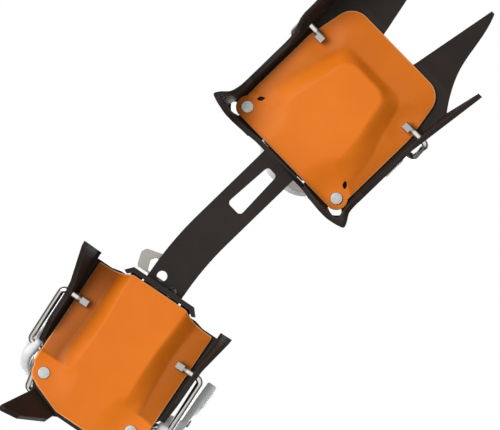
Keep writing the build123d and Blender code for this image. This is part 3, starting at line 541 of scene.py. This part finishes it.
frontPlate = {
    "outline": [(43.8, -6.9), (43.8, 57.0), (37.8, 89.2)],
    "outlineRadii": [6.8, 30, 12.5],
    "centre": (0, 34),
    "crest": [(23.5, -30), (22.8, 8), (22.6, 22), (21.6, 34), (18.4, 47), (15.6, 63.6)],
    "foot": [(38, -30), (36.8, 8), (37.4, 20), (35.5, 32), (30.4, 46), (24.0, 69.5)],
    "pocketEnd": 13.9, "pocketStart": 22, "pocketSlope": 0.27, "pocketBlend": 2.6,
    "depthRear": 4.3, "depthFront": 9.2, "depthFrom": -7, "depthTo": 50,
    "rivet": (38.5, 0.0), "landRadius": 5.0, "landBlend": 21, "landDepth": 0.7, "bulge": 7.0,
    "rim": -5.0, "wall": 1.8, "rings": 62, "spacing": 1.1, "lipSteps": 8,
    "crownDepth": 1.6, "crownRun": 17, "roundness": 0.5,
    # shade, shadePower, shadeReach and footShade set the painted shade on the ground round the dome
    "shade": (0.27, 0.24), "shadePower": (3, 5), "shadeReach": 9, "footShade": 0.5,  # outer side, inner side
    "drain": ((36.3, 9.3), 4.9, 2.6, 130),
    "headRoom": (4.5, 11.0),  # flat round the hammered head, and how far it blends out
}
rearPlate = {
    "outline": [(12.6, -64.4), (32.9, -57.0), (40.9, -46.0), (40.9, 25.4), (33.0, 25.6), (27.0, 26.6),
                (23.4, 27.9), (19.0, 30.2)],
    "outlineRadii": [8, 9, 8, 0.8, 9, 9, 9, 2.5],
    "centre": (0, -17),
    "crest": [(20, -90), (19.4, -44), (18.6, -34), (17.8, -16), (18.0, 0), (19.2, 16), (20.6, 50)],
    "foot": [(31, -90), (30.6, -44), (30.0, -34), (28.4, -16), (27.4, 0), (28.2, 16), (30.6, 50)],
    "pocketEnd": -38.6, "pocketStart": 20, "pocketSlope": 0.0, "pocketBlend": 2.0,
    "depthRear": 1.2, "depthFront": 8.6, "depthFrom": -66, "depthTo": -8,
    "rivet": (31.5, -49.0), "landRadius": 5.0, "landBlend": 17, "landDepth": 0.7, "bulge": 7.5,
    "rim": -5.0, "wall": 1.8, "rings": 62, "spacing": 1.1, "lipSteps": 8,
    "crownDepth": 1.0, "crownRun": 9, "roundness": 0.4,
    # shade, shadePower, shadeReach and footShade set the painted shade on the ground round the dome
    "shade": (0.56, 0.46), "shadePower": (1.3, 5), "shadeReach": 12, "footShade": 0.5,
}
front = mouldedPlate("front_antiballing_plate", frontPlate, frontToWorld)
(drainX, drainY), drainLength, drainWidth, drainTurn = frontPlate["drain"]
rivetX, rivetY = frontPlate["rivet"]
drains = [((side * drainX, drainY), drainLength, drainWidth, side * drainTurn, opening["drainPoint"])
          for side in (1, -1)]
holes = [((side * rivetX, rivetY), *opening["rivet"]) for side in (1, -1)]
cutThrough(front, drains + holes, frontToWorld)
finishPiece(front, "orange_plastic", "front_unit", "front_antiball_plate")
rear = mouldedPlate("rear_antiballing_plate", rearPlate, rearToWorld)
rivetX, rivetY = rearPlate["rivet"]
cutThrough(rear, [((side * rivetX, rivetY), *opening["rivet"]) for side in (1, -1)], rearToWorld)
finishPiece(rear, "orange_plastic", "rear_unit", "rear_antiball_plate")
print("antiballing plates made")


cornerFold = {
    # stations from the rear flange round the corner to the side wall, mm:
    # outer face at the top, inner face at the top, outer lower edge, inner lower edge
    "stations": [
        ((20.0, -11.1), (20.0, -8.1), (20.0, -11.2, -15.0), (20.0, -8.2)),
        ((28.0, -11.1), (28.0, -8.1), (28.0, -12.1, -15.6), (28.0, -9.1)),
        ((34.0, -11.2), (34.0, -7.7), (34.5, -12.7, -17.6), (34.3, -9.7)),
        ((38.5, -11.6), (38.6, -7.5), (39.5, -12.9, -22.5), (39.2, -9.9)),
        ((42.5, -11.9), (41.6, -8.4), (44.0, -12.8, -30.0), (43.5, -9.8)),
        ((45.9, -11.4), (44.6, -8.6), (48.6, -12.0, -38.5), (47.8, -9.1)),
        ((48.2, -10.0), (46.3, -8.0), (52.6, -11.0, -46.0), (51.2, -8.4)),
        ((49.3, -8.0), (47.0, -6.5), (56.0, -9.3, -50.0), (52.5, -7.6)),
        ((49.2, -4.8), (46.7, -4.2), (54.6, -5.6, -43.5), (51.7, -5.6)),
        ((48.7, -0.8), (45.8, -0.8), (51.2, -0.8, -30.0), (48.3, -1.4)),
        ((48.3, 4.5), (45.3, 4.5), (50.1, 4.9, -21.0), (47.1, 4.5)),
        ((48.2, 9.0), (45.2, 9.0), (50.0, 9.0, -17.0), (47.0, 8.8)),
        ((48.25, 12.4), (45.25, 12.4), (50.0, 12.4, -16.0), (47.0, 12.4)),
    ],
    "top": -2.9, "columns": 8, "rows": 9,
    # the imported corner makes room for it: the cleared box in front view and the stations of its rim
    "cleared": {"inner": 20, "outer": 75, "rear": -20, "front": 12.3, "down": -60, "up": 1},
    "rim": (2, 11), "rimSteps": 6, "overlap": 0.12, "sharpAngle": 32,
}


def throughPoints(points, steps):
    # smooth curve through the points
    points = np.array(points, float)
    padded = np.vstack([2 * points[0] - points[1], points, 2 * points[-1] - points[-2]])
    curve = []
    for i in range(1, len(points)):
        a, b, c, d = padded[i - 1:i + 3]
        for u in np.linspace(0, 1, steps, endpoint=False):
            curve.append(0.5 * (2 * b + (c - a) * u + (2 * a - 5 * b + 4 * c - d) * u * u
                                + (3 * b - a - 3 * c + d) * u ** 3))
    return np.array(curve + [points[-1]])


def foldedCorner(side):
    # one bent sheet: the corner point flares out of the frame's corner, between flange and side wall
    top, rows = cornerFold["top"], cornerFold["rows"]
    table = [[*a, top, *b, top, *c, *d, c[2]] for a, b, c, d in cornerFold["stations"]]
    loops = []
    for row in throughPoints(table, cornerFold["columns"]):
        outTop, inTop, outLow, inLow = row[0:3], row[3:6], row[6:9], row[9:12]
        section = [outTop + (outLow - outTop) * v for v in np.linspace(0, 1, rows)]
        section += [inLow + (inTop - inLow) * v for v in np.linspace(0, 1, rows)]
        loops.append([(side * x * mm, y * mm, z * mm) for x, y, z in section])
    return solidThrough(loops)


cornerWeb = {
    # the web that closes the fold round the plate's land leaves a curved slot: turns in degrees from
    # the rivet's outward side, reach in mm from the rivet to the fold's inner face
    "turns": [-126, -110, -100, -89, -70, -55, -46, -37, -27, -6, 8],
    "reach": [9.6, 8.3, 7.7, 7.5, 9.0, 10.5, 11.2, 10.7, 9.2, 7.3, 7.4],
    "overlap": 0.9, "inner": 5.8, "slot": 10.1, "slotTurn": -51, "slotHalf": 39, "roundOff": 9,
    "low": -2.9, "high": -0.4, "steps": 52,
}


def webShape(side):
    web = cornerWeb
    rivetX, rivetY = frontPlate["rivet"]
    loops = []
    for turn in np.linspace(web["turns"][0], web["turns"][-1], web["steps"]):
        outer = np.interp(turn, web["turns"], web["reach"]) + web["overlap"]
        opened = np.clip((web["slotHalf"] - abs(turn - web["slotTurn"])) / web["roundOff"], 0, 1)
        inner = web["inner"] + (web["slot"] - web["inner"]) * np.sqrt(1 - (1 - opened) ** 2)
        c, s = np.cos(radians(turn)), np.sin(radians(turn))
        corners = [(inner, web["low"]), (outer, web["low"]), (outer, web["high"]), (inner, web["high"])]
        loops.append([(side * (rivetX + reach * c) * mm, (rivetY + reach * s) * mm, z * mm)
                      for reach, z in corners])
    return solidThrough(loops)


wallFlare = {
    # how far the outer wall's lower edge flares where it runs into the side point: (y, flare), mm
    "along": [(44, 0), (48, 0.3), (52, 0.9), (56, 1.8), (60, 2.6), (64, 2.5), (68, 1.8), (72, 1.1), (78, 0.4),
              (84, 0)],
    "from": -12, "run": 8, "wallFrom": 44,
    # the wall is divided here, so that it can bend
    "cutsAcross": range(44, 85, 2), "cutsDown": (-12, -13, -14, -15, -16, -17, -18, -20, -23, -26, -30),
}


def flareWall(piece):
    work = bmesh.new()
    work.from_mesh(piece.data)
    planes = [((0, y, 0), (0, 1, 0)) for y in wallFlare["cutsAcross"]]
    planes += [((0, 0, z), (0, 0, 1)) for z in wallFlare["cutsDown"]]
    for place, normal in planes:
        wall = [face for face in work.faces if face.calc_center_median().x > wallFlare["wallFrom"] * mm]
        parts = wall + list({edge for face in wall for edge in face.edges})
        parts += list({vertex for face in wall for vertex in face.verts})
        bmesh.ops.bisect_plane(
            work, geom=parts, dist=weldDistance, plane_co=Vector(place) * mm, plane_no=normal
        )
    stations, flares = zip(*wallFlare["along"])
    for vertex in work.verts:
        if vertex.co.x > wallFlare["wallFrom"] * mm:
            depth = ease((wallFlare["from"] - vertex.co.z / mm) / wallFlare["run"])
            vertex.co.x += mm * float(np.interp(vertex.co.y / mm, stations, flares) * depth)
    bmesh.ops.triangulate(work, faces=work.faces)
    work.to_mesh(piece.data)
    work.free()


def frontFrameSteel():
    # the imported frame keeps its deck, walls and front points; its corner points become bent sheet
    piece = packedCopy("front_frame_steel", "front_frame")
    box, (first, last) = cornerFold["cleared"], cornerFold["rim"]
    outerTops = [station[0] for station in cornerFold["stations"][first:last]]
    rim = [tuple(row) for row in throughPoints(outerTops, cornerFold["rimSteps"])]
    inner, outer, rear, front = box["inner"], box["outer"], box["rear"], box["front"]
    for side in (1, -1):
        below = [(inner, rear), (outer, rear), (outer, front), (inner, front)]
        outside = rim + [(outer, rim[-1][1]), (outer, rear), (rim[0][0], rear)]
        level = cornerFold["top"] - cornerFold["overlap"]
        cutAway(piece, prism([(side * x, y) for x, y in below], box["down"], level))
        cutAway(piece, prism([(side * x, y) for x, y in outside], box["down"], box["up"]))
    flareWall(piece)
    joinInto(piece.data, [foldedCorner(1), foldedCorner(-1), webShape(1), webShape(-1)])
    piece.data.polygons.foreach_set("use_smooth", [True] * len(piece.data.polygons))
    piece.data.set_sharp_from_angle(angle=radians(cornerFold["sharpAngle"]))
    return finishPiece(piece, "coated_steel", "front_unit", "front_frame")


frontFrameSteel()
print("front frame's corners folded")


softBinding = {
    "voxel": 0.6 * mm, "smoothing": 14, "smoothFactor": 0.5,
    # the cradle's arms swell outwards at half height, and the inner one bows: (y, outward), mm
    "swell": 1.7, "swellFrom": 40, "swellBlend": 8, "low": 16.6, "high": 47,
    "bow": [(-57, 0), (-45, -0.6), (-36, -1.4), (-29, -1.4), (-24, -0.8), (-19, 0.2), (-14, 1.0), (-4, 1.1),
            (3, 0.2)],
    "bowRise": 4,
    # sections of the socket that takes the end of the heel wire, in the rear unit:
    # distance behind the holes, inner and outer edge, lower edge
    "socket": [
        (27, 45.6, 49.6, 13.0), (30, 44.0, 49.0, 8.4), (33, 43.0, 48.2, 6.0), (35.2, 42.4, 47.8, 2.4),
        (37.6, 42.2, 47.9, 1.8), (40.6, 42.3, 50.2, 1.8), (43, 42.6, 50.4, 1.9), (46, 43.0, 50.0, 2.8),
        (50, 42.2, 48.8, 6.5), (54, 39.4, 45.8, 12.5), (56.5, 36.5, 41.5, 17.5),
    ],
    "socketTop": 20.0, "innerSideShift": 4.2, "socketSides": 24, "socketColumns": 5, "squareness": 0.6,
}


def socketShape(side):
    loops = []
    shift = softBinding["innerSideShift"] if side < 0 else 0
    count, squareness = softBinding["socketSides"], softBinding["squareness"]
    for back, inner, outer, low in throughPoints(softBinding["socket"], softBinding["socketColumns"]):
        middle, half = (inner + outer + shift) / 2, (outer + shift - inner) / 2
        height = (softBinding["socketTop"] - low) / 2
        loop = []
        for i in range(count):
            angle = 2 * np.pi * i / count
            u, v = np.cos(angle), np.sin(angle)
            u, v = np.sign(u) * abs(u) ** squareness, np.sign(v) * abs(v) ** squareness
            loop.append(rearToWorld((side * (middle + half * u), -back, low + height * (1 + v))) * mm)
        loops.append(loop)
    return solidThrough(loops)


def softened(name, node, extras):
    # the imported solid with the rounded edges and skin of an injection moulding
    piece = packedCopy(name, node)
    joinInto(piece.data, extras)
    remesh = piece.modifiers.new("skin", "REMESH")
    remesh.mode, remesh.voxel_size = "VOXEL", softBinding["voxel"]
    smooth = piece.modifiers.new("soften", "SMOOTH")
    smooth.factor, smooth.iterations = softBinding["smoothFactor"], softBinding["smoothing"]
    plainMesh(piece, name)
    piece.data.polygons.foreach_set("use_smooth", [True] * len(piece.data.polygons))
    return piece


closeWire = {"from": 49.6, "run": 3.0, "shift": 1.4}  # the outer wire stands closer to its wall
shape = nodes["toe_wire_outer"].data.copy()
for vertex in shape.vertices:
    beyond = (vertex.co.x / mm - closeWire["from"]) / closeWire["run"]
    vertex.co.x -= closeWire["shift"] * mm * float(ease(beyond))
finishPiece(newObject("toe_wire_outer_close", shape), "stainless_wire", "toe_binding", "toe_wire_outer")

basket = softened("toe_basket_moulding", "toe_basket", [])
finishPiece(basket, "grey_plastic", "toe_binding", "toe_basket")
cradle = softened("heel_cradle_moulding", "heel_cradle", [socketShape(1), socketShape(-1)])
stations, bows = zip(*softBinding["bow"])
for vertex in cradle.data.vertices:
    across, along, height = rearFromWorld(vertex.co / mm)
    share = (height - softBinding["low"]) / (softBinding["high"] - softBinding["low"])
    swell = softBinding["swell"] * np.sin(np.pi * np.clip(share, 0, 1)) * np.sign(across)
    if across < 0:
        swell -= np.interp(along, stations, bows) * ease(share * softBinding["bowRise"])
    onArm = ease((abs(across) - softBinding["swellFrom"]) / softBinding["swellBlend"])
    vertex.co = Vector(rearToWorld((across + swell * onArm, along, height)) * mm)
finishPiece(cradle, "grey_plastic", "heel_binding", "heel_cradle")
print("toe basket and heel cradle moulded")


rivetSizes = {
    "Head Radius": 3.9 * mm, "Head Height": 1.4 * mm, "Chamfer": 0.35 * mm, "Crown": 0.05 * mm,
    "Shank Radius": 2.0 * mm, "Grip": 4.6 * mm, "Button Share": 0.55,
}
rivetSides = 48


def rivetTree():
    # a factory head of three turned steps on its shank, set on every point of the mesh
    tree = bpy.data.node_groups.new("rivetsOnPoints", "GeometryNodeTree")
    face = tree.interface
    face.new_socket("Geometry", in_out="INPUT", socket_type="NodeSocketGeometry")
    for name in rivetSizes:
        face.new_socket(name, in_out="INPUT", socket_type="NodeSocketFloat")
    face.new_socket("Material", in_out="INPUT", socket_type="NodeSocketMaterial")
    face.new_socket("Geometry", in_out="OUTPUT", socket_type="NodeSocketGeometry")
    given = addNode(tree, "NodeGroupInput").outputs

    head, chamfer, crown = given["Head Height"], given["Chamfer"], given["Crown"]
    radius, share = given["Head Radius"], given["Button Share"]
    rim = addNode(tree, "ShaderNodeMath", {"operation": "SUBTRACT"}, {0: radius, 1: chamfer}).outputs[0]
    button = addNode(tree, "ShaderNodeMath", {"operation": "MULTIPLY"}, {0: rim, 1: share}).outputs[0]
    belt = addNode(tree, "ShaderNodeMath", {"operation": "SUBTRACT"}, {0: head, 1: chamfer}).outputs[0]
    down = addNode(tree, "ShaderNodeMath", {"operation": "MULTIPLY", 1: -1.0}, {0: head}).outputs[0]
    crownAt = addNode(tree, "ShaderNodeMath", {"operation": "SUBTRACT"}, {0: down, 1: crown}).outputs[0]
    beltAt = addNode(tree, "ShaderNodeMath", {"operation": "ADD"}, {0: down, 1: chamfer}).outputs[0]
    steps = [
        (button, rim, crown, crownAt), (rim, radius, chamfer, down),
        (radius, radius, belt, beltAt),
        (given["Shank Radius"], given["Shank Radius"], given["Grip"], None),
    ]
    joined = addNode(tree, "GeometryNodeJoinGeometry")
    for low, high, height, start in steps:
        sizes = {"Radius Bottom": low, "Radius Top": high, "Depth": height}
        cone = addNode(tree, "GeometryNodeMeshCone", {"Vertices": rivetSides}, sizes).outputs["Mesh"]
        if start:
            offset = addNode(tree, "ShaderNodeCombineXYZ", links={"Z": start}).outputs[0]
            moved = {"Geometry": cone, "Translation": offset}
            cone = addNode(tree, "GeometryNodeTransform", links=moved).outputs[0]
        tree.links.new(cone, joined.inputs[0])
    points = addNode(tree, "GeometryNodeMeshToPoints", links={"Mesh": given["Geometry"]}).outputs[0]
    scattered = {"Points": points, "Instance": joined.outputs[0]}
    placed = addNode(tree, "GeometryNodeInstanceOnPoints", links=scattered)
    real = addNode(tree, "GeometryNodeRealizeInstances", links={0: placed.outputs[0]}).outputs[0]
    painted = addNode(
        tree, "GeometryNodeSetMaterial", links={"Geometry": real, "Material": given["Material"]}
    )
    addNode(tree, "NodeGroupOutput", links={0: painted.outputs[0]})
    return tree


def rivetPair(name, plate, toWorld, tree, body, node):
    x, y = plate["rivet"]
    mesh = bpy.data.meshes.new(name)
    mesh.from_pydata([Vector(toWorld((side * x, y, plate["rim"])) * mm) for side in (1, -1)], [], [])
    piece = newObject(name, mesh)
    modifier = piece.modifiers.new("rivets", "NODES")
    modifier.node_group = tree
    for socket in tree.interface.items_tree:
        if socket.in_out == "INPUT" and socket.name in rivetSizes:
            modifier[socket.identifier] = rivetSizes[socket.name]
        elif socket.in_out == "INPUT" and socket.name == "Material":
            modifier[socket.identifier] = finishes["rivet_steel"]
    plainMesh(piece, name)
    return finishPiece(piece, "rivet_steel", body, node)


rivets = rivetTree()
rivetPair("front_rivet_pair", frontPlate, frontToWorld, rivets, "front_unit", "front_plate_rivets")
rivetPair("rear_rivet_pair", rearPlate, rearToWorld, rivets, "rear_unit", "rear_plate_rivets")
print("rivets set")


stageSettings = {
    "floorHalf": 1.6,
    "floorDrop": 0.3 * mm,  # below the points, so that nothing flickers
    "floorColour": "#f4f4f2",
    "ambient": 0.40,
    # name, where the light travels, strength, spread in degrees
    "suns": [("keyFromBelow", (-0.55, 0.25, 1.0), 2.45, 35), ("keyFromAbove", (0.3, 0.4, -1.0), 2.4, 50)],
    # what metal sees by the steepness of the direction: a grey band at the horizon, white above and below
    "studio": {"From Min": 0.2, "From Max": 0.85, "To Min": 0.06, "To Max": 0.95},
}
cameraView = {"lens": 956.4, "place": (-0.37756, -0.06245, -7.99076), "turn": (-178.013, -1.743, 134.074)}


def paleFloor():
    half = stageSettings["floorHalf"]
    level = cadBox[0].z - stageSettings["floorDrop"]
    mesh = bpy.data.meshes.new("floor")
    corners = [(-half, -half, level), (half, -half, level), (half, half, level), (-half, half, level)]
    mesh.from_pydata(corners, [], [(0, 1, 2, 3)])
    floor = newObject("floor", mesh)
    material = bpy.data.materials.new("pale_floor")
    material.use_nodes = True
    tree = material.node_tree
    tree.nodes.clear()
    paint = addNode(tree, "ShaderNodeBsdfDiffuse", {"Color": fromHex(stageSettings["floorColour"])})
    clear = addNode(tree, "ShaderNodeBsdfTransparent")
    # only its upper side is seen, and light from below passes: the object is looked at from both sides
    seen = addNode(tree, "ShaderNodeLightPath").outputs["Is Camera Ray"]
    under = addNode(tree, "ShaderNodeNewGeometry").outputs["Backfacing"]
    shown = addNode(tree, "ShaderNodeMath", {"operation": "SUBTRACT", "use_clamp": True}, {0: seen, 1: under})
    mix = addNode(
        tree, "ShaderNodeMixShader",
        links={0: shown.outputs[0], 1: clear.outputs[0], 2: paint.outputs[0]},
    )
    addNode(tree, "ShaderNodeOutputMaterial", links={"Surface": mix.outputs[0]})
    mesh.materials.append(material)


def softWorld():
    world = bpy.data.worlds.new("soft_world")
    bpy.context.scene.world = world
    world.use_nodes = True
    tree = world.node_tree
    tree.nodes.clear()
    path = addNode(tree, "ShaderNodeLightPath").outputs
    pale = {"Color": (1, 1, 1, 1)}
    ambient = addNode(tree, "ShaderNodeBackground", {**pale, "Strength": stageSettings["ambient"]})
    white = addNode(tree, "ShaderNodeBackground", {**pale, "Strength": 1.0})
    direction = addNode(tree, "ShaderNodeTexCoord").outputs["Generated"]
    height = addNode(tree, "ShaderNodeSeparateXYZ", links={0: direction}).outputs["Z"]
    steep = addNode(tree, "ShaderNodeMath", {"operation": "ABSOLUTE"}, {0: height}).outputs[0]
    band = addNode(tree, "ShaderNodeMapRange", stageSettings["studio"], {"Value": steep}).outputs[0]
    studio = addNode(tree, "ShaderNodeBackground", pale, {"Strength": band})
    plain = addNode(tree, "ShaderNodeMath", {"operation": "MAXIMUM"},
                    {0: path["Is Camera Ray"], 1: path["Is Transmission Ray"]}).outputs[0]
    lit = addNode(tree, "ShaderNodeMixShader",
                  links={0: path["Is Glossy Ray"], 1: ambient.outputs[0], 2: studio.outputs[0]})
    mix = addNode(tree, "ShaderNodeMixShader", links={0: plain, 1: lit.outputs[0], 2: white.outputs[0]})
    addNode(tree, "ShaderNodeOutputWorld", links={"Surface": mix.outputs[0]})


def softSun(name, towards, strength, spread):
    lamp = bpy.data.lights.new(name, "SUN")
    lamp.energy = strength
    lamp.angle = radians(spread)
    newObject(name, lamp).rotation_euler = Vector(towards).to_track_quat("-Z", "Y").to_euler()


def framingCamera():
    camera = bpy.data.cameras.new("camera")
    camera.lens = cameraView["lens"]
    camera.sensor_width = 36.0
    camera.clip_start = 0.1
    camera.clip_end = 100.0
    holder = newObject("camera", camera)
    holder.location = cameraView["place"]
    holder.rotation_euler = [radians(turn) for turn in cameraView["turn"]]
    bpy.context.scene.camera = holder


paleFloor()
softWorld()
for name, towards, strength, spread in stageSettings["suns"]:
    softSun(name, towards, strength, spread)
framingCamera()
bpy.context.scene.view_settings.view_transform = "Standard"
